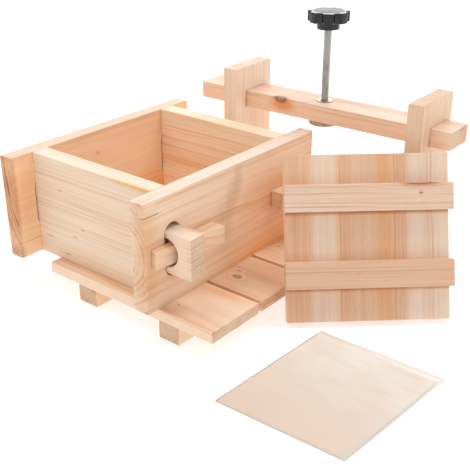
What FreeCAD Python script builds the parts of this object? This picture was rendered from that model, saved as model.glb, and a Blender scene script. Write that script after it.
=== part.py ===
import FreeCAD, Part
import Sketcher
import math
import os
import re

# Tofu press: a mould of four boards held by wedges, a slatted base, a screw frame, a cover and a cloth.
# Origin: centre of the mould's footprint, on the surface that everything stands on. X runs to the
# right along the end boards, Y to the back along the side boards, Z up. Millimetres and degrees.

SIZES = {
    # Mould, open at the top and the bottom
    "mould_width": 149.6,
    "mould_height": 100.0,
    "side_length": 236.4,
    "side_thickness": 15.6,
    "ear_length": 24.3,
    "end_thickness": 17.4,
    # Through tenons of the end boards, and their slots in the side boards
    "tenon_height": 38.0,
    "tenon_centre": 49.6,
    "tenon_standout": 27.5,
    "slot_height": 49.4,
    "slot_width": 19.4,
    "wedge_hole": 26.0,
    # Wedges
    "wedge_length": 75.0,
    "rear_wedge_length": 66.0,
    "wedge_height": 16.7,
    "wedge_taper": 0.143,
    "wedge_nose": 17.5,
    "rear_wedge_nose": 23.7,
    "wedge_gap": 0.1,
    # Slatted base
    "plank_length": 198.6,
    "plank_width": 61.8,
    "plank_gap": 3.9,
    "plank_thickness": 10.6,
    "batten_width": 23.0,
    "batten_height": 16.7,
    "batten_one": 37.7,
    "batten_two": 138.7,
    "base_side_inset": 41.3,
    "base_front_inset": 12.6,
    "base_slack": 0.5,
    # Screw frame
    "post_thickness": 15.7,
    "post_width": 60.4,
    "post_head": 24.9,
    "straddle_gap": 1.4,
    "beam_width": 34.7,
    "beam_thickness": 17.0,
    "beam_setback": 17.9,
    "beam_rise": 7.1,
    "beam_stub": 31.8,
    "beam_shift": 11.5,
    "mortise_gap": 0.3,
    "mortise_slack": 1.4,
    "stretcher_thickness": 10.4,
    "stretcher_stub": 8.0,
    "stretcher_gap": 0.3,
    "frame_setback": 11.1,
    "frame_yaw": 1.2,
    # Screw, its flanged nut and its knob
    "rod_diameter": 8.0,
    "rod_exposed": 71.0,
    "thread_gap": 0.05,
    "nut_diameter": 16.5,
    "nut_flange": 30.0,
    "nut_flange_thickness": 5.5,
    "nut_lip": 0.8,
    "knob_diameter": 40.0,
    "knob_height": 10.0,
    "hub_diameter": 22.0,
    "hub_height": 6.7,
    "knob_turned": 31.3,
    "scallop_count": 7,
    "scallop_radius": 4.2,
    "scallop_depth": 3.4,
    "lobe_radius": 1.4,
    "cap_diameter": 30.0,
    "cap_thickness": 1.6,
    "cap_crown": 0.8,
    "insert_diameter": 12.0,
    "insert_length": 12.0,
    # Cover
    "cover_side_gap": 3.0,
    "cover_end_gap": 3.6,
    "cover_plank_thickness": 14.0,
    "cover_batten_thickness": 10.0,
    "cover_batten_width": 23.7,
    "cover_batten_overlap": 1.8,
    "cover_batten_low": 29.7,
    "cover_batten_inset": 25.9,
    "cover_yaw": 42.0,
    "cover_lean": 23.7,
    "cover_clear": 1.0,
    "cover_touch": 122.8,
    "cover_gap": 0.3,
    # Cloth, folded in a flat stack that isn't quite square
    "cloth_front_width": 113.8,
    "cloth_rear_width": 118.1,
    "cloth_depth": 135.6,
    "cloth_shift": 8.0,
    "cloth_front_slant": 4.4,
    "cloth_rear_slant": 2.6,
    "cloth_thickness": 2.0,
    "cloth_side": 25.7,
    "cloth_ahead": 128.6,
    "cloth_corner": 3.0,
    # Brads and eased edges
    "brad_diameter": 1.6,
    "brad_length": 20.0,
    "brad_inset": 8.5,
    "brad_first": 16.5,
    "edge_radius": 0.7,
    "plastic_radius": 1.0,
    "metal_radius": 0.3,
}

PLACES = {
    # Mould
    "side_inner": "mould_width / 2",
    "side_outer": "side_inner + side_thickness",
    "side_back": "side_length / 2",
    "end_outer": "side_back - ear_length",
    "end_inner": "end_outer - end_thickness",
    "mould_depth": "2 * end_inner",
    "tenon_half": "side_outer + tenon_standout",
    "wedge_reach": "sqrt(pow(wedge_hole / 2; 2) - pow(wedge_height / 2; 2)) - wedge_gap",
    # Base
    "base_height": "batten_height + plank_thickness",
    "base_left": "-side_outer + base_side_inset",
    "base_right": "base_left + plank_length",
    "base_front": "-side_back + base_front_inset",
    "base_depth": "frame_window - 2 * base_slack",
    "plank_pitch": "plank_width + plank_gap",
    "rear_plank_width": "base_depth - 2 * plank_pitch",
    # Frame, seen from its own front left foot
    "frame_window": "2 * end_outer + 2 * straddle_gap",
    "frame_width": "frame_window + 2 * post_thickness",
    "beam_bottom": "base_height + mould_height + beam_rise",
    "beam_top": "beam_bottom + beam_thickness",
    "post_height": "beam_top + post_head",
    "beam_length": "frame_width + 2 * beam_stub",
    "beam_left": "-beam_stub - beam_shift",
    "beam_middle": "beam_setback + beam_width / 2",
    "stretcher_top": "batten_height - stretcher_gap",
    "stretcher_bottom": "stretcher_top - stretcher_thickness",
    "screw_across": "frame_width / 2 - beam_shift",
    "nut_bottom": "beam_bottom - nut_flange_thickness",
    "hub_bottom": "beam_top + rod_exposed",
    "knob_bottom": "hub_bottom + hub_height",
    "knob_top": "knob_bottom + knob_height",
    "crown_radius": "(pow(cap_diameter / 2; 2) + pow(cap_crown; 2)) / (2 * cap_crown)",
    # Cover, seen from its own lower left rear corner
    "cover_width": "mould_width - 2 * cover_side_gap",
    "cover_length": "mould_depth - 2 * cover_end_gap",
    "cover_plank_width": "cover_width / 3",
    "cover_reach": "cover_length * sin(cover_lean * 1 deg) + cover_gap",
    "cover_step": "base_height * tan(cover_lean * 1 deg)",
    "cover_foot_across": "base_right + cover_clear + cover_step * sin(cover_yaw * 1 deg)",
    "post_corner_across": "cover_foot_across + cover_touch * cos(cover_yaw * 1 deg)"
                          " - cover_reach * sin(cover_yaw * 1 deg)",
    "frame_across": "post_corner_across - frame_width * cos(frame_yaw * 1 deg)",
    "frame_back": "end_outer + frame_setback",
    "post_corner_back": "frame_back + frame_width * sin(frame_yaw * 1 deg)",
    "cover_foot_back": "post_corner_back - cover_touch * sin(cover_yaw * 1 deg)"
                       " - cover_reach * cos(cover_yaw * 1 deg)",
    "cover_batten_high": "cover_length - cover_batten_inset - cover_batten_width",
    "cover_drop": "edge_radius * (sin(cover_lean * 1 deg) + cos(cover_lean * 1 deg) - 1)",
    # Cloth
    "cloth_across": "cover_foot_across + cloth_side",
    "cloth_front": "cover_foot_back - cloth_ahead",
}

doc = FreeCAD.newDocument("tofu_press")
sheet = doc.addObject("Spreadsheet::Sheet", "sizes")
for row, (alias, value) in enumerate(list(SIZES.items()) + list(PLACES.items()), start=1):
    sheet.set(f"A{row}", alias)
    sheet.set(f"B{row}", str(value) if alias in SIZES else "=" + value)
    sheet.setAlias(f"B{row}", alias)
doc.recompute()

pieces = []
AXES = {"x": FreeCAD.Vector(1, 0, 0), "y": FreeCAD.Vector(0, 1, 0), "z": FreeCAD.Vector(0, 0, 1)}


def linked(text):
    """The expression with every word that has an underscore read from the sheet."""
    return re.sub(r"[a-z]+(?:_[a-z]+)+", r"sizes.\g<0>", text)


def value_of(text):
    """The present value of a cell, for what can't be bound."""
    return float(getattr(sheet, text))


def bind(item, **expressions):
    """Bind properties to expressions; a double underscore in a name stands for a dot."""
    for path, text in expressions.items():
        item.setExpression(path.replace("__", "."), linked(text))


def at(item, corner):
    """Bind the place of a feature to three expressions."""
    bind(item, Placement__Base__x=corner[0], Placement__Base__y=corner[1], Placement__Base__z=corner[2])


def new_body(name):
    body = doc.addObject("PartDesign::Body", name)
    body.Label = name
    pieces.append(body)
    return body


def block(body, corner, size, cut=False):
    """A box from its lowest corner, added to the body or cut from it."""
    feature = body.newObject("PartDesign::SubtractiveBox" if cut else "PartDesign::AdditiveBox", "Box")
    at(feature, corner)
    bind(feature, Length=size[0], Width=size[1], Height=size[2])
    return feature


def cylinder(body, base, radius, length, axis="z", cut=False):
    """A cylinder from the centre of its lower end, along an axis."""
    kind = "PartDesign::SubtractiveCylinder" if cut else "PartDesign::AdditiveCylinder"
    feature = body.newObject(kind, "Cylinder")
    feature.Placement.Rotation = FreeCAD.Rotation(AXES["z"], AXES[axis])
    at(feature, base)
    bind(feature, Radius=radius, Height=length)
    return feature


def outline(body, corners, height):
    """A prism from a sketch whose corners are each held by two bound distances."""
    sketch = body.newObject("Sketcher::SketchObject", "Outline")
    plane = [item for item in body.Origin.OriginFeatures if item.Role == "XY_Plane"][0]
    sketch.AttachmentSupport = [(plane, "")]
    sketch.MapMode = "FlatFace"
    count = len(corners)
    for index in range(count):
        start = FreeCAD.Vector(index, index * index, 0)
        end = FreeCAD.Vector(index + 1, (index + 1) * (index + 1), 0)
        sketch.addGeometry(Part.LineSegment(start, end), False)
    for index in range(count):
        sketch.addConstraint(Sketcher.Constraint("Coincident", index, 2, (index + 1) % count, 1))
    for index, (across, along) in enumerate(corners):
        for kind, text in (("DistanceX", across), ("DistanceY", along)):
            held = sketch.addConstraint(Sketcher.Constraint(kind, -1, 1, index, 1, 1.0))
            sketch.setExpression(f"Constraints[{held}]", linked(text))
    pad = body.newObject("PartDesign::Pad", "Pad")
    pad.Profile = sketch
    bind(pad, Length=height)
    return pad


def is_convex(shape, edge):
    """True where the solid lies inside the corner of the edge's two faces."""
    faces = shape.ancestorsOfType(edge, Part.Face)
    if len(faces) != 2:
        return False
    middle = edge.valueAt((edge.FirstParameter + edge.LastParameter) / 2)
    normals = []
    for face in faces:
        u, v = face.Surface.parameter(middle)
        normals.append(face.normalAt(u, v))
    if normals[0].getAngle(normals[1]) < 0.3:
        return False
    step = (normals[0] - normals[1]).normalize() * 0.02
    return not shape.isInside(middle + step, 1e-4, False)


def ease(body, radius="edge_radius", choose=None):
    """Round the outer edges of the body, all of them or those that choose picks."""
    doc.recompute()
    tip = body.Tip
    names = []
    for number, edge in enumerate(tip.Shape.Edges, start=1):
        if is_convex(tip.Shape, edge) and (choose is None or choose(edge)):
            names.append(f"Edge{number}")
    fillet = body.newObject("PartDesign::Fillet", "Ease")
    fillet.Base = (tip, names)
    bind(fillet, Radius=radius)
    return fillet


def is_upright(edge):
    return abs(edge.tangentAt(edge.FirstParameter).z) > 0.9


def place(body, corner=("0", "0", "0"), yaw=0.0, roll=0.0):
    """Set the body in the press: turned about X by roll and then about Z by yaw."""
    body.Placement.Rotation = FreeCAD.Rotation(yaw, 0, roll)
    at(body, corner)


def boards():
    """The mould: two slotted side boards and two end boards with through tenons."""
    for name, side in (("side_board_left", -1), ("side_board_right", 1)):
        body = new_body(name)
        left = "side_inner" if side > 0 else "-side_outer"
        block(body, (left, "-side_back", "0"), ("side_thickness", "side_length", "mould_height"))
        for end in (-1, 1):
            middle = f"{end} * (end_outer - end_thickness / 2)"
            low = "tenon_centre - slot_height / 2 + slot_width / 2"
            high = "tenon_centre + slot_height / 2 - slot_width / 2"
            block(body, (left, f"{middle} - slot_width / 2", low),
                  ("side_thickness", "slot_width", "slot_height - slot_width"), cut=True)
            for level in (low, high):
                cylinder(body, (left, middle, level), "slot_width / 2", "side_thickness", "x", cut=True)
        ease(body)
        place(body, ("0", "0", "base_height"))
    for name, end in (("end_board_front", -1), ("end_board_rear", 1)):
        body = new_body(name)
        near = "end_inner" if end > 0 else "-end_outer"
        block(body, ("-side_inner", near, "0"), ("mould_width", "end_thickness", "mould_height"))
        block(body, ("-tenon_half", near, "tenon_centre - tenon_height / 2"),
              ("2 * tenon_half", "end_thickness", "tenon_height"))
        for side in (-1, 1):
            cylinder(body, (f"{side} * side_outer", near, "tenon_centre"), "wedge_hole / 2",
                     "end_thickness", "y", cut=True)
        ease(body)
        place(body, ("0", "0", "base_height"))


def wedges():
    """Four wedges, each flat on a side board, thin end towards the ear; the rear pair is shorter."""
    for end_name, end, length, nose in (("front", -1, "wedge_length", "wedge_nose"),
                                        ("rear", 1, "rear_wedge_length", "rear_wedge_nose")):
        thin = f"(wedge_reach - wedge_taper * ({nose} + end_thickness))"
        thick = f"({thin} + wedge_taper * {length})"
        for side_name, side in (("left", -1), ("right", 1)):
            body = new_body(f"wedge_{end_name}_{side_name}")
            wall = f"{side} * (side_outer + wedge_gap)"
            tip = f"{end} * (end_outer + {nose})"
            back = f"{end} * (end_outer + {nose} - {length})"
            corners = [(wall, tip), (f"{wall} + {side} * {thin}", tip),
                       (f"{wall} + {side} * {thick}", back), (wall, back)]
            outline(body, corners, "wedge_height")
            ease(body)
            place(body, ("0", "0", "base_height + tenon_centre - wedge_height / 2"))


def brads(name, tips, axis="z"):
    """A group of equal brads, each from its tip along the axis to a head flush with the board."""
    group = doc.addObject("Part::Compound", name)
    group.Label = name
    pins = []
    for tip in tips:
        pin = doc.addObject("Part::Cylinder", "Brad")
        pin.Placement.Rotation = FreeCAD.Rotation(AXES["z"], AXES[axis])
        at(pin, tip)
        bind(pin, Radius="brad_diameter / 2", Height="brad_length")
        pins.append(pin)
    group.Links = pins
    pieces.append(group)
    return group


def brad_holes(body, tips, axis="z"):
    for tip in tips:
        cylinder(body, tip, "brad_diameter / 2", "brad_length", axis, cut=True)


def slatted_base():
    """Three planks with drip gaps on two battens, bradded down."""
    lines = [f"base_left + {batten} + brad_inset" for batten in ("batten_one", "batten_two")]
    all_tips = []
    for index, name in enumerate(("plank_front", "plank_middle", "plank_rear")):
        front = f"base_front + {index} * plank_pitch"
        width = "rear_plank_width" if index == 2 else "plank_width"
        row = f"{front} + brad_first" if index == 0 else f"{front} + {width} / 2"
        tips = [(line, row, "base_height - brad_length") for line in lines]
        all_tips += tips
        body = new_body(name)
        block(body, ("base_left", front, "batten_height"), ("plank_length", width, "plank_thickness"))
        ease(body)
        brad_holes(body, tips)
    for side, (name, start) in enumerate((("batten_left", "batten_one"), ("batten_right", "batten_two"))):
        body = new_body(name)
        block(body, (f"base_left + {start}", "base_front", "0"),
              ("batten_width", "base_depth", "batten_height"))
        ease(body)
        brad_holes(body, all_tips[side::2])
    brads("base_brads", all_tips)


def in_frame(body):
    place(body, ("frame_across", "frame_back", "0"), value_of("frame_yaw"))


def frame():
    """Two slotted posts, the beam that carries the screw and the stretcher under the base."""
    for name, left in (("post_left", "0"), ("post_right", "frame_width - post_thickness")):
        body = new_body(name)
        block(body, (left, "0", "0"), ("post_thickness", "post_width", "post_height"))
        ease(body)
        for level, height in (("beam_bottom", "beam_thickness"), ("stretcher_bottom", "stretcher_thickness")):
            block(body, (left, "beam_setback - mortise_slack", f"{level} - mortise_gap"),
                  ("post_thickness", "beam_width + mortise_slack + mortise_gap",
                   f"{height} + 2 * mortise_gap"), cut=True)
        in_frame(body)
    body = new_body("screw_beam")
    block(body, ("beam_left", "beam_setback", "beam_bottom"), ("beam_length", "beam_width", "beam_thickness"))
    ease(body)
    on_screw(body, "beam_bottom", "nut_diameter / 2", "beam_thickness", cut=True)
    in_frame(body)
    body = new_body("stretcher")
    block(body, ("-stretcher_stub", "beam_setback", "stretcher_bottom"),
          ("frame_width + 2 * stretcher_stub", "beam_width", "stretcher_thickness"))
    ease(body)
    in_frame(body)


def on_screw(body, base, radius, length, cut=False):
    return cylinder(body, ("screw_across", "beam_middle", base), radius, length, cut=cut)


def screw():
    """The flanged nut in the beam, the rod and the scalloped knob with its insert."""
    body = new_body("flanged_nut")
    on_screw(body, "nut_bottom", "nut_flange / 2", "nut_flange_thickness")
    on_screw(body, "beam_bottom", "nut_diameter / 2", "beam_thickness + nut_lip")
    ease(body, "metal_radius")
    on_screw(body, "nut_bottom", "rod_diameter / 2 + thread_gap",
             "nut_flange_thickness + beam_thickness + nut_lip", cut=True)
    in_frame(body)

    body = new_body("screw_rod")
    on_screw(body, "nut_bottom", "rod_diameter / 2", "knob_bottom - nut_bottom + insert_length - hub_height")
    ease(body, "2 * metal_radius")
    in_frame(body)

    body = new_body("knob_insert")
    on_screw(body, "hub_bottom", "insert_diameter / 2", "insert_length")
    on_screw(body, "hub_bottom", "rod_diameter / 2 + thread_gap", "insert_length", cut=True)
    in_frame(body)

    body = new_body("knob_body")
    on_screw(body, "knob_bottom", "knob_diameter / 2", "knob_height")
    count = int(value_of("scallop_count"))
    for index in range(count):
        turn = value_of("knob_turned") + 360.0 * (index + 0.5) / count
        reach = "(knob_diameter / 2 + scallop_radius - scallop_depth)"
        across = f"screw_across + {reach} * {math.sin(math.radians(turn))}"
        along = f"beam_middle - {reach} * {math.cos(math.radians(turn))}"
        cylinder(body, (across, along, "knob_bottom"), "scallop_radius", "knob_height", cut=True)
    ease(body, "lobe_radius", is_upright)
    ease(body, "plastic_radius")
    on_screw(body, "hub_bottom", "hub_diameter / 2", "hub_height")
    on_screw(body, "hub_bottom", "insert_diameter / 2", "insert_length", cut=True)
    on_screw(body, "knob_top - cap_thickness", "cap_diameter / 2", "cap_thickness", cut=True)
    in_frame(body)

    knob_cap()


def knob_cap():
    """The disc set in the knob's top, flush at its rim and crowned like a shallow lens."""
    disc = doc.addObject("Part::Cylinder", "Disc")
    on_axis = ("screw_across", "beam_middle")
    at(disc, (*on_axis, "knob_top - cap_thickness"))
    bind(disc, Radius="cap_diameter / 2", Height="cap_thickness + cap_crown")
    ball = doc.addObject("Part::Sphere", "Crown")
    at(ball, (*on_axis, "knob_top + cap_crown - crown_radius"))
    bind(ball, Radius="crown_radius")
    cap = doc.addObject("Part::Common", "knob_cap")
    cap.Label = "knob_cap"
    cap.Base = disc
    cap.Tool = ball
    pieces.append(cap)
    in_frame(cap)


def on_cover(body):
    place(body, ("cover_foot_across", "cover_foot_back", "-cover_drop"),
          value_of("cover_yaw"), -value_of("cover_lean"))


def cover():
    """Three planks edge to edge, bradded to two battens, leaning back on the right post."""
    centres = [f"({index} + 0.5) * cover_plank_width" for index in range(3)]
    levels = [f"{level} + cover_batten_width / 2" for level in ("cover_batten_low", "cover_batten_high")]
    tips = [(centre, "-brad_length", level) for centre in centres for level in levels]
    for index, name in enumerate(("cover_plank_left", "cover_plank_middle", "cover_plank_right")):
        body = new_body(name)
        block(body, (f"{index} * cover_plank_width", "-cover_plank_thickness", "0"),
              ("cover_plank_width", "cover_plank_thickness", "cover_length"))
        ease(body)
        brad_holes(body, tips[2 * index:2 * index + 2], "y")
        on_cover(body)
    for side, (name, level) in enumerate((("cover_batten_lower", "cover_batten_low"),
                                          ("cover_batten_upper", "cover_batten_high"))):
        body = new_body(name)
        block(body, ("-cover_batten_overlap", "-cover_plank_thickness - cover_batten_thickness", level),
              ("cover_width + 2 * cover_batten_overlap", "cover_batten_thickness", "cover_batten_width"))
        ease(body)
        brad_holes(body, tips[side::2], "y")
        on_cover(body)
    on_cover(brads("cover_brads", tips, "y"))


def cloth():
    """The straining cloth, folded into a flat stack."""
    body = new_body("press_cloth")
    corners = [("0", "0"), ("cloth_front_width", "cloth_front_slant"),
               ("cloth_shift + cloth_rear_width", "cloth_depth + cloth_rear_slant"),
               ("cloth_shift", "cloth_depth")]
    outline(body, corners, "cloth_thickness")
    ease(body, "cloth_corner", is_upright)
    place(body, ("cloth_across", "cloth_front", "0"))


slatted_base()
boards()
wedges()
frame()
screw()
cover()
cloth()
doc.recompute()

for item in doc.Objects:
    if "Invalid" in item.State or "Error" in item.State:
        raise RuntimeError(f"{item.Label} did not build: {item.State}")
for piece in pieces:
    if piece.Shape.isNull() or not piece.Shape.isValid():
        raise RuntimeError(f"{piece.Label} has no valid shape")

os.makedirs("parts", exist_ok=True)
for piece in pieces:
    piece.Shape.exportStep(f"parts/{piece.Label}.step")
    box = piece.Shape.BoundBox
    print(f"{piece.Label}: {len(piece.Shape.Solids)} solids, {piece.Shape.Volume:.0f} mm3, "
          f"x {box.XMin:.1f} {box.XMax:.1f}, y {box.YMin:.1f} {box.YMax:.1f}, "
          f"z {box.ZMin:.1f} {box.ZMax:.1f}")
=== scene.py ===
# %% [markdown]
# # A wooden tofu press, taken down
#
# The shapes of the boards, the screw and the knob come from the CAD model, already in place. What is
# left for Blender is what a CAD model can't show: pine grain, a real thread, gauze, and soft light.
# The cells go from the frame to the woods, then to the metal and plastic, the thread, the cloth, and the
# studio.

# %% The frame
import math

import bpy
from mathutils import Euler, Matrix, Vector


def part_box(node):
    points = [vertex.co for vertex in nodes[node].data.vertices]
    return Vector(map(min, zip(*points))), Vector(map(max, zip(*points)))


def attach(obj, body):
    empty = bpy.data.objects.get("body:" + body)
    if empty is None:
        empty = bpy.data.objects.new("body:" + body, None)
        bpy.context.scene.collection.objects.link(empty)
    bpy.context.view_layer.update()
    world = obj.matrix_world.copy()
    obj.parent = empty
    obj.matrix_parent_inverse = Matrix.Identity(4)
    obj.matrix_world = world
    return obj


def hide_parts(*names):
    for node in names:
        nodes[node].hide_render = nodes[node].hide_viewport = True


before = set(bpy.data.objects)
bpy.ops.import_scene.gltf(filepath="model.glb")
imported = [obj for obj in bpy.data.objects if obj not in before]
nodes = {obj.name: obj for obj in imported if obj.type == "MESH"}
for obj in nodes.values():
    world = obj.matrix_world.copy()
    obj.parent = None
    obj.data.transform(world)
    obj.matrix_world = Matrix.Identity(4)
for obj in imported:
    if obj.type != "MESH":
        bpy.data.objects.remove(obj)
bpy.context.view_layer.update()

# %% [markdown]
# The drawings are in millimetres and Blender works in metres. Colours are easiest to judge as they are
# seen on a screen, from 0 to 255, while a shader wants linear light, so one helper turns them over.

# %% Units and colours
MM = 0.001


def colour(red, green, blue):
    """A screen colour, 0 to 255, as the linear colour that a shader takes."""
    linear = []
    for value in (red, green, blue):
        share = min(max(value, 0), 255) / 255
        linear.append(share / 12.92 if share <= 0.04045 else ((share + 0.055) / 1.055) ** 2.4)
    return (*linear, 1.0)


def shade(tone, change):
    """A tone with a change of its red, green and blue."""
    return colour(*(value + step for value, step in zip(tone, change)))


print("a screen grey of 128 is a linear", round(colour(128, 128, 128)[0], 3))

# %% [markdown]
# Every finish here is a node tree. Writing each link by hand is long and hard to read, so a small class
# adds a node, joins its inputs and hands back its output. A line of it then reads like a formula.

# %% A class for node trees
MIX_FIRST, MIX_SECOND, MIX_RESULT = 6, 7, 2  # the colour sockets of a Mix node, which share their names


class Graph:
    """A material whose nodes are joined as they are added."""

    def __init__(self, name):
        self.material = bpy.data.materials.new(name)
        self.material.use_nodes = True
        self.tree = self.material.node_tree
        self.tree.nodes.clear()
        self.place = self.add("ShaderNodeTexCoord")

    def put(self, socket, value):
        """Join an output to a socket, or set the socket to a value."""
        if isinstance(value, bpy.types.NodeSocket):
            self.tree.links.new(value, socket)
        elif value is not None:
            socket.default_value = value

    def add(self, kind, *inputs, **settings):
        """A new node, with its first inputs joined and its settings made."""
        node = self.tree.nodes.new(kind)
        for name, value in settings.items():
            setattr(node, name, value)
        for socket, value in zip(node.inputs, inputs):
            self.put(socket, value)
        return node

    def math(self, operation, first, second=None):
        return self.add("ShaderNodeMath", first, second, operation=operation).outputs[0]

    def plus(self, first, second):
        return self.math("ADD", first, second)

    def times(self, first, second):
        return self.math("MULTIPLY", first, second)

    def vector(self, operation, first, second=None):
        node = self.add("ShaderNodeVectorMath", first, second, operation=operation)
        return node.outputs["Value" if operation in ("LENGTH", "DOT_PRODUCT") else "Vector"]

    def stretch(self, point, factors):
        """Each coordinate times its own factor."""
        return self.vector("MULTIPLY", point, factors)

    def parts(self, point):
        return self.add("ShaderNodeSeparateXYZ", point).outputs

    def noise(self, point, detail=2.0, roughness=0.5, output="Fac"):
        """Noise of scale 1: how the point was stretched says how fast it changes."""
        node = self.add("ShaderNodeTexNoise")
        self.put(node.inputs["Vector"], point)
        self.put(node.inputs["Scale"], 1.0)
        self.put(node.inputs["Detail"], detail)
        self.put(node.inputs["Roughness"], roughness)
        return node.outputs[output]

    def rescale(self, value, low, high, to_low=0.0, to_high=1.0):
        """A smooth step from to_low to to_high, while the value goes from low to high."""
        node = self.add("ShaderNodeMapRange", interpolation_type="SMOOTHSTEP")
        names = ("Value", "From Min", "From Max", "To Min", "To Max")
        for name, number in zip(names, (value, low, high, to_low, to_high)):
            self.put(node.inputs[name], number)
        return node.outputs["Result"]

    def ramp(self, value, stops):
        """The tone that belongs to a value, between stops of (value, tone)."""
        node = self.add("ShaderNodeValToRGB", value)
        elements = node.color_ramp.elements
        while len(elements) < len(stops):
            elements.new(0.5)
        for element, (position, tone) in zip(elements, stops):
            element.position = position
            element.color = tone if isinstance(tone, tuple) else (tone, tone, tone, 1.0)
        return node.outputs["Color"]

    def mix(self, factor, first, second, blend="MIX"):
        node = self.add("ShaderNodeMix", data_type="RGBA", blend_type=blend)
        self.put(node.inputs["Factor"], factor)
        self.put(node.inputs[MIX_FIRST], first)
        self.put(node.inputs[MIX_SECOND], second)
        return node.outputs[MIX_RESULT]

    def bump(self, height, strength, distance):
        node = self.add("ShaderNodeBump")
        self.put(node.inputs["Strength"], strength)
        self.put(node.inputs["Distance"], distance)
        self.put(node.inputs["Height"], height)
        return node.outputs["Normal"]

    def in_millimetres(self):
        """Object coordinates, in millimetres."""
        return self.stretch(self.place.outputs["Object"], (1 / MM, 1 / MM, 1 / MM))

    def finish(self, **inputs):
        """Close the tree with its shader; an input's name has underscores for its spaces."""
        shader = self.add("ShaderNodeBsdfPrincipled")
        for name, value in inputs.items():
            self.put(shader.inputs[name.replace("_", " ")], value)
        output = self.add("ShaderNodeOutputMaterial")
        self.tree.links.new(shader.outputs["BSDF"], output.inputs["Surface"])
        return self.material


# %% [markdown]
# A plank is cut from a trunk, so its pattern is solid: the same rings show as lines on its face and as
# arcs on its end. A picture wrapped round the board would break at its edges. The texture is therefore
# worked out in space, in a frame whose X runs along the grain. The screw frame and the cover stand
# turned, and a Mapping node of the Texture kind takes each point back to the board's own frame.

# %% The boards' own frames
GRAIN = {
    "x": Matrix(((1, 0, 0), (0, 1, 0), (0, 0, 1))),
    "y": Matrix(((0, 0, 1), (1, 0, 0), (0, 1, 0))),
    "z": Matrix(((0, 1, 0), (0, 0, 1), (1, 0, 0))),
}


class Setting:
    """Where a group of boards stands: its corner in millimetres, its turn and its lean in degrees."""

    def __init__(self, corner=(0, 0, 0), yaw=0.0, lean=0.0):
        self.corner = Vector(corner)
        self.turn = Euler((math.radians(-lean), 0, math.radians(yaw))).to_matrix()

    def point(self, g, grain):
        """The shaded point in the boards' own frame, in millimetres, with X along the grain."""
        node = g.add("ShaderNodeMapping", vector_type="TEXTURE")
        g.put(node.inputs["Vector"], g.place.outputs["Object"])
        g.put(node.inputs["Location"], tuple(self.corner * MM))
        g.put(node.inputs["Rotation"], tuple((self.turn @ GRAIN[grain]).to_euler()))
        g.put(node.inputs["Scale"], (MM, MM, MM))
        return node.outputs["Vector"]

    def along(self, grain):
        """The direction of the grain, in the object's frame."""
        return tuple(self.turn @ GRAIN[grain] @ Vector((1, 0, 0)))


MOULD = Setting()
FRAME = Setting(corner=(-11.15, 105.0, 0), yaw=1.2)
COVER = Setting(corner=(158.5, -17.4, 0), yaw=42.0, lean=23.7)


# %% [markdown]
# Growth rings are cylinders round the heart of the trunk. The distance from that line, divided by a
# year's growth, counts the years, and the fraction within a year runs from pale spring wood to a thin
# dark line of late wood. Slow noise bends the cylinders, because no tree grows straight, and a random
# number for each year makes some lines strong and others faint.

# %% Growth rings
SEED_STEP = (37, 11, 23)

# How fast noise changes in a millimetre, first along the grain and then across it.
TRUNK_BEND = (0.006, 0.02, 0.02)
RING_FADE = (0.012, 0.05, 0.05)

YEAR_CHANGE = 0.09
YEAR_SPREAD = 3.0
ONE_YEAR = [(0.0, 0.0), (0.40, 0.06), (0.80, 0.85), (0.92, 1.0), (1.0, 0.0)]


def moved_by_seed(g, point, seed):
    """Another place in the noise, so that no two boards are alike."""
    return g.vector("ADD", point, tuple(seed * step for step in SEED_STEP))


def ring_lines(g, point, heart, spacing, wave, seed, swell):
    """The late wood, from 0 between the lines to 1 on a strong one."""
    slow = g.noise(g.stretch(moved_by_seed(g, point, seed), TRUNK_BEND), output="Color")
    bend = g.stretch(g.vector("SUBTRACT", slow, (0.5, 0.5, 0.5)), (0, wave, wave))
    place = g.vector("SUBTRACT", g.vector("ADD", point, bend), (0, heart[1], heart[2]))
    distance = g.vector("LENGTH", g.stretch(place, (0, 1, 1)))
    if swell is not None:
        distance = g.plus(distance, swell)
    uneven = g.noise(g.add("ShaderNodeCombineXYZ", g.times(distance, YEAR_CHANGE), seed).outputs[0])
    years = g.plus(g.math("DIVIDE", distance, spacing), g.times(uneven, YEAR_SPREAD))
    line = g.ramp(g.math("FRACT", years), ONE_YEAR)
    year = g.add("ShaderNodeTexWhiteNoise", noise_dimensions="1D")
    g.put(year.inputs["W"], g.plus(g.math("FLOOR", years), seed))
    of_the_year = g.rescale(year.outputs["Value"], 0.0, 1.0, 0.15, 1.0)
    of_the_place = g.rescale(g.noise(g.stretch(point, RING_FADE)), 0.3, 0.7, 0.45, 1.1)
    return g.times(line, g.times(of_the_year, of_the_place))


# %% [markdown]
# Between the rings, pine has fine pores and fibres that run with the grain for centimetres but are a
# fraction of a millimetre wide, and here and there a short dark resin streak. Noise that is squeezed
# along the grain makes all of them. On the end of a board the same noise is seen from its end and turns
# to speckles by itself.

# %% Fibres and resin streaks
FINE_FIBRES = (0.02, 1.3, 1.3)
COARSE_FIBRES = (0.008, 0.33, 0.33)
BROAD_BANDS = (0.003, 0.045, 0.045)
RESIN = (0.09, 1.5, 1.5)
RESIN_FROM, RESIN_FULL = 0.80, 0.86


def fibre_lines(g, point, seed):
    """Fine fibres, coarse ones, broad bands and resin streaks, each from 0 to 1."""
    moved = moved_by_seed(g, point, seed)
    fine = g.noise(g.stretch(moved, FINE_FIBRES), detail=3.0, roughness=0.7)
    coarse = g.noise(g.stretch(moved, COARSE_FIBRES), detail=2.0)
    broad = g.noise(g.stretch(moved, BROAD_BANDS), detail=1.0)
    streak = g.noise(g.stretch(moved, RESIN), detail=0.0)
    return fine, coarse, broad, g.rescale(streak, RESIN_FROM, RESIN_FULL)


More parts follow.
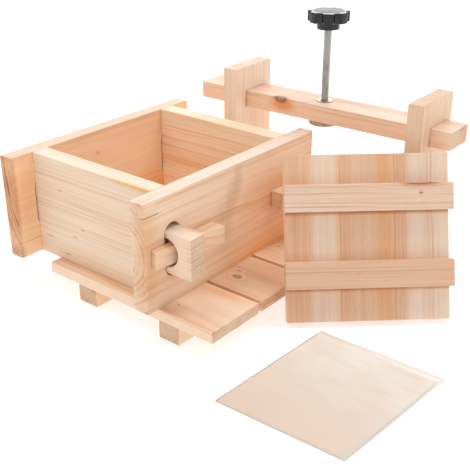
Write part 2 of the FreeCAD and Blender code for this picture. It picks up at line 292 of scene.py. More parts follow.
# %% [markdown]
# Knots are branches, and the rings flow round them. Each is an ellipsoid with a dark rim and a brown
# middle, and it pushes the rings outwards near it. A flush is the same soft ellipsoid with a tint, for
# the places where heartwood or resin warms the wood, and for some painted shade, shadow and sheen. A
# patch of sapwood is one that pales it, and one such pale patch is a painted sheen.

# %% Knots and flushes
SPOT_RAGS = (0.15, 0.5, 0.5)
KNOT_RAGGED, PATCH_RAGGED = 0.3, 0.35
KNOT_PUSH = 5.0
PUSH_FROM, PUSH_TO = 0.5, 5.0
KNOT_DARKNESS = [(0.0, 0.62), (0.40, 0.55), (0.52, 1.0), (0.66, 0.45), (0.95, 0.0)]
PATCH_FULL, PATCH_GONE = 0.35, 1.6


def spot_distance(g, point, grain, centre, radii, ragged):
    """1 on the ellipsoid's surface, less inside it and more outside."""
    turn = GRAIN[grain].transposed()
    middle = turn @ Vector(centre)
    size = turn @ Vector(radii)
    offset = g.vector("SUBTRACT", point, tuple(middle))
    reach = g.vector("LENGTH", g.stretch(offset, tuple(1 / abs(value) for value in size)))
    return g.plus(reach, g.times(g.noise(g.stretch(point, SPOT_RAGS)), ragged))


def knot_rings(g, point, grain, knots):
    """How far the knots push the rings out, and how dark the knots are."""
    swell = dark = None
    for centre, radii, strength in knots:
        reach = spot_distance(g, point, grain, centre, radii, KNOT_RAGGED)
        push = g.rescale(reach, PUSH_FROM, PUSH_TO, KNOT_PUSH, 0.0)
        spot = g.times(g.ramp(g.times(reach, 0.5), KNOT_DARKNESS), strength)
        swell = push if swell is None else g.plus(swell, push)
        dark = spot if dark is None else g.math("MAXIMUM", dark, spot)
    return swell, dark


def patch(g, point, grain, body, spot, blend):
    """The body's colour with one soft patch over it."""
    centre, radii, tint, strength = spot
    reach = spot_distance(g, point, grain, centre, radii, PATCH_RAGGED)
    return g.mix(g.rescale(reach, PATCH_FULL, PATCH_GONE, strength, 0.0), body, colour(*tint), blend=blend)


# %% [markdown]
# The end of a board soaks up light between its cut fibres, so it is greyer and darker than the face. The
# grain's direction and the surface's normal tell the two apart. All of it comes together in one
# material: a single darkness, from the palest spring wood to a late ring, is looked up in a ramp that is
# built round the board's own tone, because each board of the press comes from another tree.

# %% A pine board's material
# How the board's tone changes in red, green and blue, from spring wood at 0 to the darkest ring at 1.
WOOD_STEPS = [(0.0, (7, 14, 20)), (0.28, (0, 0, 0)), (0.62, (-14, -32, -42)), (1.0, (-62, -98, -108))]
KNOT_BROWN = (118, 66, 38)
END_FROM, END_FULL = 0.6, 0.85
END_PORES = (0.3, 1.5, 1.5)
END_PALE, END_DARK = (238, 228, 216), (176, 160, 142)

# What each size of fibre adds to the darkness, as its noise goes from the first number to the second.
BROAD_DARKNESS = (0.25, 0.75, 0.06, 0.30)
COARSE_DARKNESS = (0.3, 0.7, -0.03, 0.11)
FINE_DARKNESS = (0.25, 0.75, -0.07, 0.09)
RESIN_DARKNESS = 0.35


def pine(name, setting, grain, heart, tone, spacing=5.0, wave=8.0, contrast=0.3, grey_end=0.5, end_ring=0.3,
         knots=(), pales=(), flushes=(), seed=0.0):
    """One board's pine: its rings, fibres and end grain, and its own knots and patches."""
    g = Graph(name)
    point = setting.point(g, grain)
    swell, dark = knot_rings(g, point, grain, knots)
    middle = GRAIN[grain].transposed() @ Vector(heart)
    late = ring_lines(g, point, middle, spacing, wave, seed, swell)
    fine, coarse, broad, streak = fibre_lines(g, point, seed)

    facing = g.math("ABSOLUTE", g.vector("DOT_PRODUCT", g.place.outputs["Normal"], setting.along(grain)))
    is_end = g.rescale(facing, END_FROM, END_FULL)
    darkness = g.times(late, contrast)
    for fibres, steps in ((broad, BROAD_DARKNESS), (coarse, COARSE_DARKNESS), (fine, FINE_DARKNESS)):
        darkness = g.plus(darkness, g.rescale(fibres, *steps))
    darkness = g.plus(darkness, g.times(streak, g.plus(RESIN_DARKNESS, g.times(is_end, -RESIN_DARKNESS))))
    darkness = g.plus(darkness, g.times(g.times(late, is_end), end_ring))
    body = g.ramp(darkness, [(place, shade(tone, step)) for place, step in WOOD_STEPS])
    for spot in pales:
        body = patch(g, point, grain, body, spot, "MIX")
    for spot in flushes:
        body = patch(g, point, grain, body, spot, "MULTIPLY")

    pores = g.noise(g.stretch(point, END_PORES), detail=4.0, roughness=0.75)
    speckled = g.mix(g.rescale(pores, 0.36, 0.68), colour(*END_PALE), colour(*END_DARK))
    body = g.mix(g.times(is_end, grey_end), body, speckled, blend="MULTIPLY")
    if dark is not None:
        body = g.mix(dark, body, colour(*KNOT_BROWN))
    height = g.plus(g.times(fine, 0.8), g.times(late, 0.5))
    return g.finish(Base_Color=body, Roughness=g.rescale(fine, 0.2, 0.8, 0.46, 0.62), Specular_IOR_Level=0.5,
                    Sheen_Weight=0.3, Sheen_Roughness=0.35, Normal=g.bump(height, 0.3, 0.2 * MM))


# %% [markdown]
# Now each board is described: which way its grain runs, where the heart of its tree lay, its tone, and
# its own knots and flushes. The heart's place is what gives a board its look. Far to one side, the face
# shows straight even lines, and right under it, the lines spread into wide figures. One material with
# settings is used for all, because twenty-two hand-made node trees would never stay alike.
#
# A knot is a centre, three radii and a strength, and a flush or a pale patch has a tint besides.
# All are in millimetres, in the group's own frame.

# %% The tints
ORANGE = (252, 218, 172)
# Painted shade and warm bounce light, low on the left side board's inner face.
PAINTED_BOUNCE_ORANGE = (255, 206, 132)
FLOOR_ORANGE = (255, 218, 162)
# Painted shade and warm bounce light, low on the rear end board's inner face.
PAINTED_BOUNCE_LEMON = (255, 232, 178)
AMBER = (255, 226, 160)
HONEY = (246, 226, 204)
RUST = (246, 204, 166)
DARK_RUST = (222, 192, 157)
KNOT_RUST = (244, 184, 130)
BATTEN_RUST = (244, 190, 140)
# Also used for the painted shadow streak on the right side board's outer face.
GREY = (214, 202, 186)
# A painted sheen: cools and dims the top of the left side board.
PAINTED_SHEEN_COOL = (237, 230, 232)
# A painted sheen: cools the top of the screw beam.
PAINTED_SHEEN_BLUISH = (238, 240, 248)
SAPWOOD = (250, 227, 206)
# A painted sheen: a flat pale grey over the top of the right side board.
PAINTED_SHEEN_PALE = (233, 215, 201)
# A painted shadow, for the thin band under the cover's battens.
PAINTED_BATTEN_SHADOW = (206, 160, 118)
DARK_LINE = (200, 164, 132)
WARM_LINE = (204, 160, 122)
RESIN_DASH = (130, 96, 70)

# %% [markdown]
# The mould's end boards carry tenons that go through the side boards, and a wedge in each tenon pulls
# the box together. Low on the inner walls, painted shade and warm bounce light make the wood deeper in
# colour. The right side board has a soft grey streak, a painted shadow, and at its end a short crack,
# which is a knot flattened to a line. The front end board has a few short dashes of resin.

# %% The mould's boards
# Each dash of resin: its place across, its height and half its length.
DASHES = ((-60, 47, 6), (-25, 56, 4), (-13, 66, 3), (-37, 35, 5), (-40, 98, 3))
WEDGES = ("wedge_front_left", "wedge_front_right", "wedge_rear_left", "wedge_rear_right")

BOARDS = {
    "side_board_left": dict(
        setting=MOULD, grain="y", heart=(40, 0, 116), tone=(252, 212, 174), spacing=4.0, contrast=0.36,
        end_ring=1.8, grey_end=0.3, seed=1.3,
        knots=[((-74.8, -15.1, 104.1), (14, 2.2, 1.4), 0.35)],
        # Painted shade and warm bounce light: deeper orange low on the inner face.
        flushes=[((-74.8, 40, 40), (60, 120, 24), PAINTED_BOUNCE_ORANGE, 0.75),
                 ((-75, -106, 90), (5, 16, 60), HONEY, 0.8),
                 ((-83, -118, 86), (30, 4, 60), DARK_RUST, 0.9),
                 ((-83, -118, 32), (30, 5, 9), GREY, 0.8),
                 # A painted sheen along the top.
                 ((-83, 0, 127.3), (14, 200, 4), PAINTED_SHEEN_COOL, 1.0)]),
    "side_board_right": dict(
        setting=MOULD, grain="y", heart=(56, 0, 76), tone=(238, 205, 174), spacing=5.0, contrast=0.26,
        grey_end=0.1, end_ring=0.35, seed=2.1,
        knots=[((90.4, -110.5, 115), (4, 9.5, 0.5), 0.8)],
        # A painted sheen: the top face made a flat pale grey.
        pales=[((83, 0, 129), (14, 200, 5), PAINTED_SHEEN_PALE, 0.75),
               ((90, -112, 123), (6, 10, 6), SAPWOOD, 0.6)],
        flushes=[((90, 62, 78), (40, 80, 34), RUST, 0.5),
                 ((90, 60, 34), (40, 90, 18), FLOOR_ORANGE, 0.85),
                 ((90, -116, 80), (12, 14, 60), HONEY, 1.0),
                 # A painted shadow: a soft grey streak slanting down the outer face.
                 ((90, 1, 112), (8, 7, 16), GREY, 0.5),
                 ((90, -8, 98), (8, 9, 16), GREY, 0.5),
                 ((90, -19, 76), (8, 13, 24), GREY, 0.45)]),
    "end_board_front": dict(
        setting=MOULD, grain="x", heart=(0, -60, -150), tone=(237, 211, 184), spacing=3.4, wave=5.0,
        contrast=0.26, end_ring=0.15, seed=3.2,
        pales=[((104, -94, 77), (12, 12, 40), SAPWOOD, 0.8)],
        flushes=[((56, -94, 127), (30, 4, 3.2), AMBER, 0.9),
                 ((0, -94, 36), (90, 4, 14), HONEY, 0.6),
                 *(((x, -94, z), (half, 2, 0.5), RESIN_DASH, 0.75) for x, z, half in DASHES)]),
    "end_board_rear": dict(
        setting=MOULD, grain="x", heart=(0, 150, -60), tone=(255, 226, 194), spacing=4.6, contrast=0.34,
        seed=4.4,
        flushes=[((-42, 76, 76), (44, 30, 5), RUST, 0.6),
                 # Painted shade and warm bounce light: deeper colour low on the inner face.
                 ((0, 76, 50), (90, 30, 22), PAINTED_BOUNCE_LEMON, 0.35)]),
}
for number, wedge in enumerate(WEDGES):
    BOARDS[wedge] = dict(
        setting=MOULD, grain="y", heart=(40 + 9 * number, 0, 30), tone=(240, 202, 168), spacing=3.4,
        grey_end=0.3, seed=20.0 + number)
print("described so far:", len(BOARDS), "boards of the mould")

# %% [markdown]
# The base is three planks on two battens. The battens show sawn ends with coarse open pores, so their
# end grain is far greyer than that of the mould. The middle plank has a knot that goes right through it,
# which is why that knot's radius in height is far more than the plank's thickness.

# %% The base's boards
BOARDS.update({
    "plank_front": dict(
        setting=MOULD, grain="x", heart=(0, -60, -70), tone=(247, 214, 184), spacing=4.4, grey_end=0.75,
        seed=5.1,
        pales=[((50, -107, 22), (160, 4, 9), SAPWOOD, 0.3)],
        flushes=[((112, -50, 27), (34, 7, 20), ORANGE, 0.7)]),
    "plank_middle": dict(
        setting=MOULD, grain="x", heart=(0, -30, -90), tone=(240, 202, 168), spacing=4.4, seed=6.2,
        knots=[((104.8, -18.2, 27.3), (3.8, 2.6, 60), 0.8),
               ((100.1, -8.5, 27.3), (1.8, 0.8, 8), 0.6)]),
    "plank_rear": dict(
        setting=MOULD, grain="x", heart=(0, 90, -60), tone=(241, 206, 174), spacing=4.2, seed=7.3),
    "batten_left": dict(
        setting=MOULD, grain="y", heart=(-20, 0, -30), tone=(240, 202, 168), spacing=3.6, grey_end=0.8,
        seed=8.4),
    "batten_right": dict(
        setting=MOULD, grain="y", heart=(60, 0, -20), tone=(243, 211, 180), spacing=3.0, grey_end=0.8,
        seed=9.5),
})

# %% [markdown]
# The screw frame is two posts, the beam that carries the nut, and a stretcher that goes under the base.
# The beam has one knot on its front upper edge, with warmer wood round it, and its top is painted cooler in
# tone, a painted sheen.

# %% The screw frame's boards
BOARDS.update({
    "post_left": dict(
        setting=FRAME, grain="z", heart=(20, -40, 0), tone=(244, 216, 190), spacing=3.8, seed=10.6),
    "post_right": dict(
        setting=FRAME, grain="z", heart=(190, 90, 0), tone=(231, 196, 163), spacing=3.8, seed=11.7),
    "screw_beam": dict(
        setting=FRAME, grain="x", heart=(0, 120, 60), tone=(248, 210, 178), spacing=4.0, grey_end=0.85,
        seed=12.8,
        knots=[((58.0, 18.0, 150.6), (6.0, 4.0, 3.6), 0.9)],
        flushes=[((60, 18, 145), (15, 8, 8), KNOT_RUST, 1.0),
                 # A painted sheen on the top.
                 ((100, 38, 151.4), (260, 40, 3), PAINTED_SHEEN_BLUISH, 0.9)]),
    "stretcher": dict(
        setting=FRAME, grain="x", heart=(0, 90, -40), tone=(240, 205, 174), spacing=4.0, seed=13.9),
})

# %% [markdown]
# The cover's planks have broad stripes of heartwood and sapwood along them, because each was cut right
# through its trunk. A flush that is far longer than the plank makes such a stripe. A thin darker band
# under each batten is a painted shadow of the batten on the planks. The few grain lines of the battens
# that stand out are flushes about a millimetre thick.

# %% The cover's boards
BATTEN_FEET = (95.6, 29.1)
# A painted shadow under each batten: a thin darker band along its lower edge.
BATTEN_SHADOWS = [((72, -14, foot), (400, 6, 2.4), PAINTED_BATTEN_SHADOW, 0.8) for foot in BATTEN_FEET]

BOARDS.update({
    "cover_plank_left": dict(
        setting=COVER, grain="z", heart=(30, -160, 0), tone=(236, 207, 181), spacing=3.6, contrast=0.22,
        seed=14.1,
        flushes=[((6, -14, 70), (16, 30, 900), RUST, 0.6),
                 ((20, -14, 70), (4, 30, 900), ORANGE, 0.5),
                 ((47, -14, 70), (3, 30, 900), ORANGE, 0.6), *BATTEN_SHADOWS]),
    "cover_plank_middle": dict(
        setting=COVER, grain="z", heart=(72, -170, 0), tone=(228, 186, 151), spacing=3.6, contrast=0.24,
        seed=15.2,
        flushes=[((53, -14, 60), (8, 30, 900), RUST, 0.3),
                 ((88, -14, 60), (9, 30, 900), ORANGE, 0.7), *BATTEN_SHADOWS]),
    "cover_plank_right": dict(
        setting=COVER, grain="z", heart=(190, -50, 0), tone=(235, 205, 178), spacing=3.6, contrast=0.3,
        seed=16.3,
        flushes=[((99, -14, 70), (11, 30, 900), RUST, 0.55), *BATTEN_SHADOWS]),
    "cover_batten_lower": dict(
        setting=COVER, grain="x", heart=(0, 60, -80), tone=(224, 178, 142), spacing=3.6, contrast=0.24,
        seed=17.4,
        flushes=[((70, -24, 44.6), (900, 6, 0.6), WARM_LINE, 0.4)]),
    "cover_batten_upper": dict(
        setting=COVER, grain="x", heart=(0, 20, -90), tone=(235, 205, 180), spacing=3.2, contrast=0.3,
        seed=18.5,
        knots=[((118, -24, 120.8), (13, 8, 2.4), 0.75),
               ((117.5, -24, 110.9), (1.5, 4, 0.8), 0.8)],
        flushes=[((118, -24, 119.5), (22, 6, 4), BATTEN_RUST, 0.8),
                 ((40, -24, 112.0), (60, 6, 0.6), DARK_LINE, 0.45),
                 ((30, -24, 100.5), (44, 6, 0.6), DARK_LINE, 0.45)]),
})


# %% Dressing the boards
def dress(node, material):
    """Give a CAD piece its finish; its mesh and its place stay as they are."""
    for place in nodes[node].material_slots:
        place.material = material


for node, board in BOARDS.items():
    dress(node, pine(node + "_pine", **board))
print("boards dressed:", len(BOARDS))


# %% [markdown]
# The rod and the nut are plain steel from a shop, the rod brighter than the nut. Turned metal has fine
# marks and a little stain in its hollows. A smooth grey metal would look like chrome, so noise roughens
# it, on the rod in bands round its axis. The knob is moulded plastic: nearly black, with a thin gloss
# over its lobes and the faintest orange peel, and its cap is duller. Both finishes are short node trees,
# because what shows on them is mostly the light of the studio.

# %% Metal
STAIN_CHANGE = (0.14, 0.14, 0.14)
METAL_STAIN = (-46, -46, -46)


def steel(name, tone, roughness, marks_scale):
    """Turned metal whose marks change by marks_scale in a millimetre, along X, Y and Z."""
    g = Graph(name)
    point = g.in_millimetres()
    marks = g.noise(g.stretch(point, marks_scale), detail=3.0, roughness=0.6)
    stain = g.noise(g.stretch(point, STAIN_CHANGE), detail=2.0)
    body = g.mix(g.rescale(stain, 0.35, 0.7, 0.0, 0.25), colour(*tone), shade(tone, METAL_STAIN))
    return g.finish(Base_Color=body, Metallic=1.0,
                    Roughness=g.rescale(marks, 0.2, 0.8, roughness - 0.06, roughness + 0.1),
                    Normal=g.bump(marks, 0.15, 0.05 * MM))


rod_steel = steel("rod_steel", (198, 200, 200), 0.34, (0.05, 0.05, 0.5))
dress("flanged_nut", steel("nut_steel", (186, 180, 168), 0.34, (0.9, 0.9, 0.3)))
brad_steel = steel("brad_steel", (92, 78, 70), 0.5, (1.5, 1.5, 1.5))
for brads in ("base_brads", "cover_brads"):
    dress(brads, brad_steel)
dress("knob_insert", steel("insert_brass", (190, 158, 92), 0.34, (0.1, 0.1, 1.6)))
print("metal dressed: the nut, the brads and the knob's insert")

# %% Plastic
PEEL_CHANGE = (0.9, 0.9, 0.9)
FLOW_CHANGE = (0.09, 0.09, 0.09)
FLOW_LIGHTER = (8, 8, 9)


def moulded(name, tone, roughness):
    """Moulded plastic, slightly uneven where it flowed in the mould."""
    g = Graph(name)
    point = g.in_millimetres()
    peel = g.noise(g.stretch(point, PEEL_CHANGE), detail=2.0)
    flow = g.noise(g.stretch(point, FLOW_CHANGE), detail=1.0)
    body = g.mix(g.rescale(flow, 0.3, 0.7), colour(*tone), shade(tone, FLOW_LIGHTER))
    return g.finish(Base_Color=body, Roughness=g.rescale(flow, 0.3, 0.7, roughness - 0.04, roughness + 0.05),
                    Specular_IOR_Level=0.35, Coat_Weight=0.25, Coat_Roughness=0.1,
                    Normal=g.bump(peel, 0.1, 0.06 * MM))


dress("knob_body", moulded("knob_black", (12, 12, 13), 0.16))
dress("knob_cap", moulded("cap_black", (30, 30, 32), 0.4))
print("plastic dressed: the knob and its cap")


# %% [markdown]
# The rod is a threaded M8 bar, and its thread is what catches the light. A bump texture would leave the
# outline smooth, so the thread is real. By hand one draws a single tooth and lets the Screw modifier
# wind it up the axis, a turn for each pitch, then cuts both ends flat. That keeps the profile exact, and
# the pitch is one number.

# %% Helpers for modelling by hand
def only(piece):
    """Select one object and nothing else, and make it the one that operators act on."""
    bpy.ops.object.select_all(action="DESELECT")
    piece.select_set(True)
    bpy.context.view_layer.objects.active = piece


def draw_on(step):
    """Draw the open outline on from its last point, by a step in metres."""
    bpy.ops.mesh.extrude_region_move(TRANSFORM_OT_translate={"value": step})


# %% The tooth's outline
PITCH = 1.25
TOOTH = 0.62
FLANK = 0.33
CREST = 0.26
ROOT = PITCH - CREST - 2 * FLANK

low, high = (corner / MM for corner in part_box("screw_rod"))
axis = (low + high) / 2
major = (high.x - low.x) / 2
turns = math.ceil((high.z - low.z) / PITCH) + 2

bpy.ops.object.select_all(action="DESELECT")
bpy.ops.mesh.primitive_plane_add(size=MM, location=(axis.x * MM, axis.y * MM, (low.z - PITCH) * MM))
rod = bpy.context.object
rod.name = "screw_rod_thread"
bpy.ops.object.mode_set(mode="EDIT")
bpy.ops.mesh.select_all(action="SELECT")
bpy.ops.mesh.merge(type="CENTER")
bpy.ops.transform.translate(value=((major - TOOTH) * MM, 0, 0))
for across, up in ((0, ROOT), (TOOTH, FLANK), (0, CREST), (-TOOTH, FLANK)):
    draw_on((across * MM, 0, up * MM))
bpy.ops.object.mode_set(mode="OBJECT")
print("tooth outline:", len(rod.data.vertices), "points, major radius", round(major, 3), "mm")

# %% Winding the tooth
STEPS_A_TURN = 28
MERGE = 1e-6

wind = rod.modifiers.new("wind", "SCREW")
wind.axis = "Z"
wind.angle = 2 * math.pi
wind.screw_offset = PITCH * MM
wind.iterations = turns
wind.steps = wind.render_steps = STEPS_A_TURN
wind.use_merge_vertices = True
wind.merge_threshold = MERGE
bpy.ops.object.modifier_apply(modifier=wind.name)
bpy.ops.object.mode_set(mode="EDIT")
bpy.ops.mesh.select_all(action="SELECT")
bpy.ops.mesh.remove_doubles(threshold=MERGE)
for height, cut_away in ((low.z, "clear_inner"), (high.z, "clear_outer")):
    bpy.ops.mesh.bisect(plane_co=(axis.x * MM, axis.y * MM, height * MM), plane_no=(0, 0, 1), use_fill=True,
                        **{cut_away: True})
    bpy.ops.mesh.select_all(action="SELECT")
bpy.ops.mesh.normals_make_consistent(inside=False)
bpy.ops.object.mode_set(mode="OBJECT")
bpy.ops.object.transform_apply(location=True, rotation=True, scale=True)
print("thread:", len(rod.data.vertices), "points,", len(rod.data.polygons), "faces")

# %% [markdown]
# A real rod has its ends ground to a small cone, so that the nut starts easily. Every point near an end
# is drawn in to that cone, the rod gets its steel, and it takes the place of the plain CAD cylinder.

# %% The rod's ends
CONE = 0.9
SHARP_ANGLE = 24

for point in rod.data.vertices:
    place = point.co / MM
    from_end = min(place.z - low.z, high.z - place.z)
    offset = Vector((place.x - axis.x, place.y - axis.y))
    limit = major - max(0.0, CONE - from_end)
    if offset.length > limit:
        offset = offset.normalized() * limit
        point.co = Vector(((axis.x + offset.x) * MM, (axis.y + offset.y) * MM, point.co.z))
only(rod)
bpy.ops.object.shade_smooth_by_angle(angle=math.radians(SHARP_ANGLE))
rod.data.materials.append(rod_steel)
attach(rod, "rod")
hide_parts("screw_rod")
print("rod:", round(high.z - low.z, 2), "mm long, with a pitch of", PITCH, "mm")

# %% [markdown]
# The straining cloth is cotton gauze, one sheet folded in half twice into a flat pad. It is made as what
# it is: one grid of points whose rows run over both folds, so that the folded edges are round and the
# cut edges lie open. The cut edges of the lowest layer stand out by some millimetres, as they do when
# cloth is folded by hand, and slow waves keep the layers from lying dead flat. A cloth simulation could
# fold a sheet as well, but a pad that was pressed flat has hardly any drape, and its corners have to
# come out where they are known to lie.

# %% The folded cloth's outline
FRONT_LEFT = Vector((184.5, -145.8, 0))
FRONT_RIGHT = Vector((297.8, -141.5, 0))
REAR_RIGHT = Vector((309.8, -8.0, 0))
REAR_LEFT = Vector((192.4, -10.5, 0))
LAYERS = (
    (FRONT_LEFT, FRONT_RIGHT, REAR_RIGHT, REAR_LEFT),
    (FRONT_LEFT, FRONT_RIGHT + Vector((-2.5, 0.5, 0)), REAR_RIGHT + Vector((-9, -9, 0)), REAR_LEFT),
    (FRONT_LEFT, FRONT_RIGHT + Vector((-2.5, 0.5, 0)), REAR_RIGHT + Vector((-8, -10, 0)),
     REAR_LEFT + Vector((-0.5, -8, 0))),
    (FRONT_LEFT, FRONT_RIGHT, REAR_RIGHT + Vector((-4.5, -8.5, 0)), REAR_LEFT + Vector((-0.5, -8, 0))),
)
LAYER_STEP = 0.46
LOWEST_LAYER = 0.6  # its height above the table, in layer steps
FOLD_REACH = 3.0
GRID = 2.4
HALVES_ACROSS = (114.0, 110.0)
HALVES_ALONG = (133.0, 126.5)
FLAT_WIDTH = sum(HALVES_ACROSS)
FLAT_LENGTH = sum(HALVES_ALONG)
print("sheet:", FLAT_WIDTH, "by", FLAT_LENGTH, "mm flat, in", len(LAYERS), "layers")


# %% The folded cloth's points
def ripple(x, y):
    """Slow waves that cross each other, in millimetres."""
    return 0.16 * math.sin(x / 9 + y / 14) + 0.14 * math.sin(x / 15 - y / 11 + 2)


def layer_point(layer, u, v):
    """The place in a layer, u across and v along, both from 0 to 1 from its front left corner."""
    front_left, front_right, rear_right, rear_left = LAYERS[layer]
    return front_left.lerp(front_right, u).lerp(rear_left.lerp(rear_right, u), v)


def cloth_point(s, t):
    """The sheet's point at s across and t along, from its lowest free corner, in millimetres."""
    past_side, past_front = s - HALVES_ACROSS[0], t - HALVES_ALONG[0]
    far_half, top_half = past_side > 0, past_front > 0
    u = abs(past_side) / HALVES_ACROSS[far_half]
    v = abs(past_front) / HALVES_ALONG[top_half]
    layer = (3 - far_half) if top_half else int(far_half)
    place = layer_point(layer, u, v)
    near_side = min(1.0, abs(past_side) / FOLD_REACH)
    near_front = min(1.0, abs(past_front) / FOLD_REACH)
    # At a fold the layers come together, halfway between their heights.
    pair = 2.5 if top_half else 0.5
    level = pair + (layer - pair) * math.sqrt(near_side)
    level = 1.5 + (level - 1.5) * math.sqrt(near_front)
    place.z = (level + LOWEST_LAYER) * LAYER_STEP + ripple(place.x, place.y) * (0.3 + 0.25 * level)
    sway = 0.5 * math.sin(place.y / 21 + 1.3 * layer) * u + 0.4 * math.sin(place.x / 17 + layer) * v
    return place + Vector((sway, 0.7 * sway, 0))


# %% [markdown]
# Gauze is seen through: one layer lets the table show, four look solid. An Alpha below 1 does that by
# itself where the layers overlap. The threads are two crossed waves in Object coordinates, a little
# under a millimetre apart, sheen gives cotton its soft bloom, and the thin rims where the layers don't
# all reach are greyer.

# %% The gauze
THREAD_GAP = 0.9
THREAD_SWAY = (6, 6, 0)
SWAY_CHANGE = (0.05, 0.05, 0)
CLOUD_CHANGE = (0.02, 0.02, 0.02)
CREASE_CHANGE = (0.03, 0.16, 0.1)
PAD_FRONT, PAD_REAR = -140, -20
FRONT_TONE, REAR_TONE = (241, 220, 203), (255, 249, 238)
CLOUD_TONE, CREASE_TONE = (246, 224, 206), (240, 216, 194)
GAP_TONE, RIM_TONE = (226, 198, 174), (229, 221, 213)

# The pad's right, rear, left and front edge, each with the width of its rim.
RIMS = ((FRONT_RIGHT, REAR_RIGHT, 6.5), (REAR_RIGHT, REAR_LEFT, 8.0),
        (REAR_LEFT, FRONT_LEFT, 2.4), (FRONT_LEFT, FRONT_RIGHT, 2.0))


def edge_distances(g, point):
    """How far a point is from each edge of the pad, measured in that edge's rim widths."""
    for start, end, width in RIMS:
        along = (end - start).normalized()
        inward = tuple(Vector((-along.y, along.x, 0)) / width)
        yield g.vector("DOT_PRODUCT", g.vector("SUBTRACT", point, tuple(start)), inward)


def gauze():
    """Thin cotton: crossed threads, soft clouds and creases, and greyer rims."""
    g = Graph("cotton_gauze")
    point = g.in_millimetres()
    sway = g.stretch(g.noise(g.stretch(point, SWAY_CHANGE), output="Color"), THREAD_SWAY)
    swayed = g.parts(g.vector("ADD", point, sway))
    threads = [g.math("ABSOLUTE", g.math("SINE", g.times(swayed[name], math.pi / THREAD_GAP)))
               for name in ("X", "Y")]
    weave = g.math("MAXIMUM", *threads)
    cloud = g.noise(g.stretch(point, CLOUD_CHANGE), detail=2.0)
    crease = g.noise(g.stretch(point, CREASE_CHANGE), detail=2.0)
    away = g.parts(point)["Y"]
    body = g.mix(g.rescale(away, PAD_FRONT, PAD_REAR), colour(*FRONT_TONE), colour(*REAR_TONE))
    body = g.mix(g.rescale(cloud, 0.35, 0.65, 0.0, 0.4), body, colour(*CLOUD_TONE))
    body = g.mix(g.rescale(crease, 0.45, 0.75, 0.0, 0.3), body, colour(*CREASE_TONE))
    body = g.mix(g.rescale(weave, 0.5, 1.0, 0.12, 0.0), body, colour(*GAP_TONE))
    right, rear, left, front = edge_distances(g, point)
    nearest = g.math("MINIMUM", g.math("MINIMUM", right, rear), g.math("MINIMUM", left, front))
    body = g.mix(g.rescale(nearest, 0.2, 1.0, 0.85, 0.0), body, colour(*RIM_TONE))
    return g.finish(Base_Color=body, Roughness=0.85, Sheen_Weight=0.2, Sheen_Roughness=0.5, Alpha=0.8,
                    Normal=g.bump(g.plus(weave, g.times(crease, 3.0)), 0.4, 0.1 * MM))


# %% [markdown]
# The sheet is written down as one grid, point by point and face by face, and each point is asked where
# it lies once the cloth is folded. Nothing is cut or joined, so unfolding it would give the flat sheet
# back.

# %% Laying the cloth
columns = round(FLAT_WIDTH / GRID)
rows = round(FLAT_LENGTH / GRID)
points = [cloth_point(FLAT_WIDTH * column / columns, FLAT_LENGTH * row / rows) * MM
          for row in range(rows + 1) for column in range(columns + 1)]
faces = []
for row in range(rows):
    for column in range(columns):
        start = row * (columns + 1) + column
        faces.append((start, start + 1, start + columns + 2, start + columns + 1))
mesh = bpy.data.meshes.new("press_cloth_folded")
mesh.from_pydata(points, [], faces)
cloth = bpy.data.objects.new("press_cloth_folded", mesh)
bpy.context.scene.collection.objects.link(cloth)
only(cloth)
bpy.ops.object.shade_smooth()
mesh.materials.append(gauze())
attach(cloth, "cloth")
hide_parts("press_cloth")
print("cloth:", len(points), "points, a sheet of", FLAT_WIDTH, "by", FLAT_LENGTH, "mm")


# %% [markdown]
# The photograph is a catalogue shot: a white table that almost swallows the shadows, light from all
# round, and top faces that are palest. The white world does most of the work, two soft lamps high on
# either side model the shapes, and a bright wall behind gives the knob and the boards' tops their sheen.
# The table glows a little by itself, which thins its shadows out as an overexposed table does.

# %% The table
TABLE_REACH = 8.0
TABLE_GREYS = (206, 209)
TABLE_CHANGE = (0.04, 0.04, 0.04)
TABLE_GLOW = 0.56

bpy.ops.object.select_all(action="DESELECT")
bpy.ops.mesh.primitive_plane_add(size=2 * TABLE_REACH, location=(0, 0, 0))
table = bpy.context.object
table.name = "table"
paper = Graph("table_paper")
grain = paper.noise(paper.stretch(paper.in_millimetres(), TABLE_CHANGE), detail=2.0)
tone = paper.mix(grain, *(colour(grey, grey, grey) for grey in TABLE_GREYS))
table.data.materials.append(paper.finish(Base_Color=tone, Roughness=0.9, Specular_IOR_Level=0.1,
                                         Emission_Color=(1, 1, 1, 1), Emission_Strength=TABLE_GLOW))
print("table:", 2 * TABLE_REACH, "m across, glow", TABLE_GLOW)

# %% The sky
SKY_STRENGTH, OVERHEAD_STRENGTH = 0.74, 0.35
OVERHEAD_FROM, OVERHEAD_FULL = 0.82, 0.96


def light_world():
    """An even white sky with a dimmer patch overhead."""
    world = bpy.data.worlds.new("studio")
    world.use_nodes = True
    tree = world.node_tree
    background = tree.nodes["Background"]
    sky = tree.nodes.new("ShaderNodeTexCoord")
    toward = tree.nodes.new("ShaderNodeVectorMath")
    toward.operation = "DOT_PRODUCT"
    toward.inputs[1].default_value = (0, 0, 1)
    level = tree.nodes.new("ShaderNodeMapRange")
    level.interpolation_type = "SMOOTHSTEP"
    for name, number in (("From Min", OVERHEAD_FROM), ("From Max", OVERHEAD_FULL),
                         ("To Min", SKY_STRENGTH), ("To Max", OVERHEAD_STRENGTH)):
        level.inputs[name].default_value = number
    tree.links.new(sky.outputs["Generated"], toward.inputs[0])
    tree.links.new(toward.outputs["Value"], level.inputs["Value"])
    tree.links.new(level.outputs["Result"], background.inputs["Strength"])
    background.inputs["Color"].default_value = (1, 1, 1, 1)
    bpy.context.scene.world = world


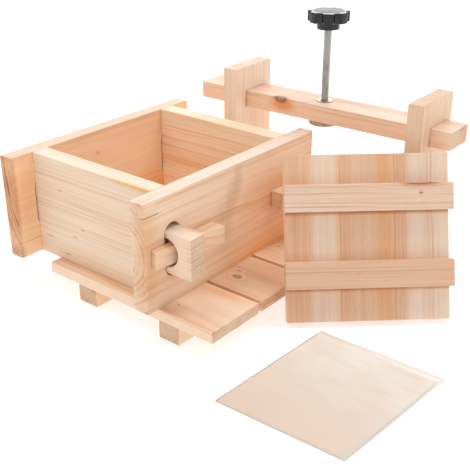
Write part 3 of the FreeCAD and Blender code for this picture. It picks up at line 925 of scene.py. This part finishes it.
light_world()
print("sky:", SKY_STRENGTH, "all round and", OVERHEAD_STRENGTH, "overhead")

# %% The lamps
PRESS = (0.08, 0.1, 0.15)
LAMP_SIZE = (0.7, 1.2)

# Each lamp: its name, its place and aim in metres, its size and its power in watts.
LAMPS = (
    ("left_lamp", (-0.63, -0.29, 1.95), PRESS, LAMP_SIZE, 10),
    ("right_lamp", (0.70, 0.76, 1.95), PRESS, LAMP_SIZE, 13),
    ("back_wall", (-1.2, 1.7, 1.1), (0.05, 0.1, 0.1), (2.6, 1.4), 18),
)


def hang_lamp(name, place, target, size, power):
    """A soft rectangular lamp that hangs at a place and faces its target."""
    lamp = bpy.data.lights.new(name, "AREA")
    lamp.shape = "RECTANGLE"
    lamp.size, lamp.size_y = size
    lamp.energy = power
    holder = bpy.data.objects.new(name, lamp)
    bpy.context.scene.collection.objects.link(holder)
    holder.location = place
    holder.rotation_euler = (Vector(target) - Vector(place)).to_track_quat("-Z", "Y").to_euler()


for lamp in LAMPS:
    hang_lamp(*lamp)
print("lamps:", ", ".join(lamp[0] for lamp in LAMPS))

# %% [markdown]
# The camera stands where the photographer's did. Its place and turn were fitted to the edges of the
# boards in the photograph, whose frame is 470 pixels wide, and the focal length follows from that fit.

# %% Camera
PHOTO_WIDTH = 470
LENS_PIXELS = 827.4
SENSOR = 36.0
CAMERA_PLACE = (518.4, -533.6, 386.0)
LOOKS_DOWN, TURNED_LEFT = 25.63, 38.90

camera_data = bpy.data.cameras.new("camera")
camera_data.sensor_width = SENSOR
camera_data.lens = LENS_PIXELS * SENSOR / PHOTO_WIDTH
camera = bpy.data.objects.new("camera", camera_data)
bpy.context.scene.collection.objects.link(camera)
camera.location = Vector(CAMERA_PLACE) * MM
camera.rotation_euler = (math.radians(90 - LOOKS_DOWN), 0, math.radians(TURNED_LEFT))
bpy.context.scene.camera = camera
bpy.context.scene.view_settings.view_transform = "Standard"
print("lens:", round(camera_data.lens, 1), "mm on a sensor", SENSOR, "mm wide")
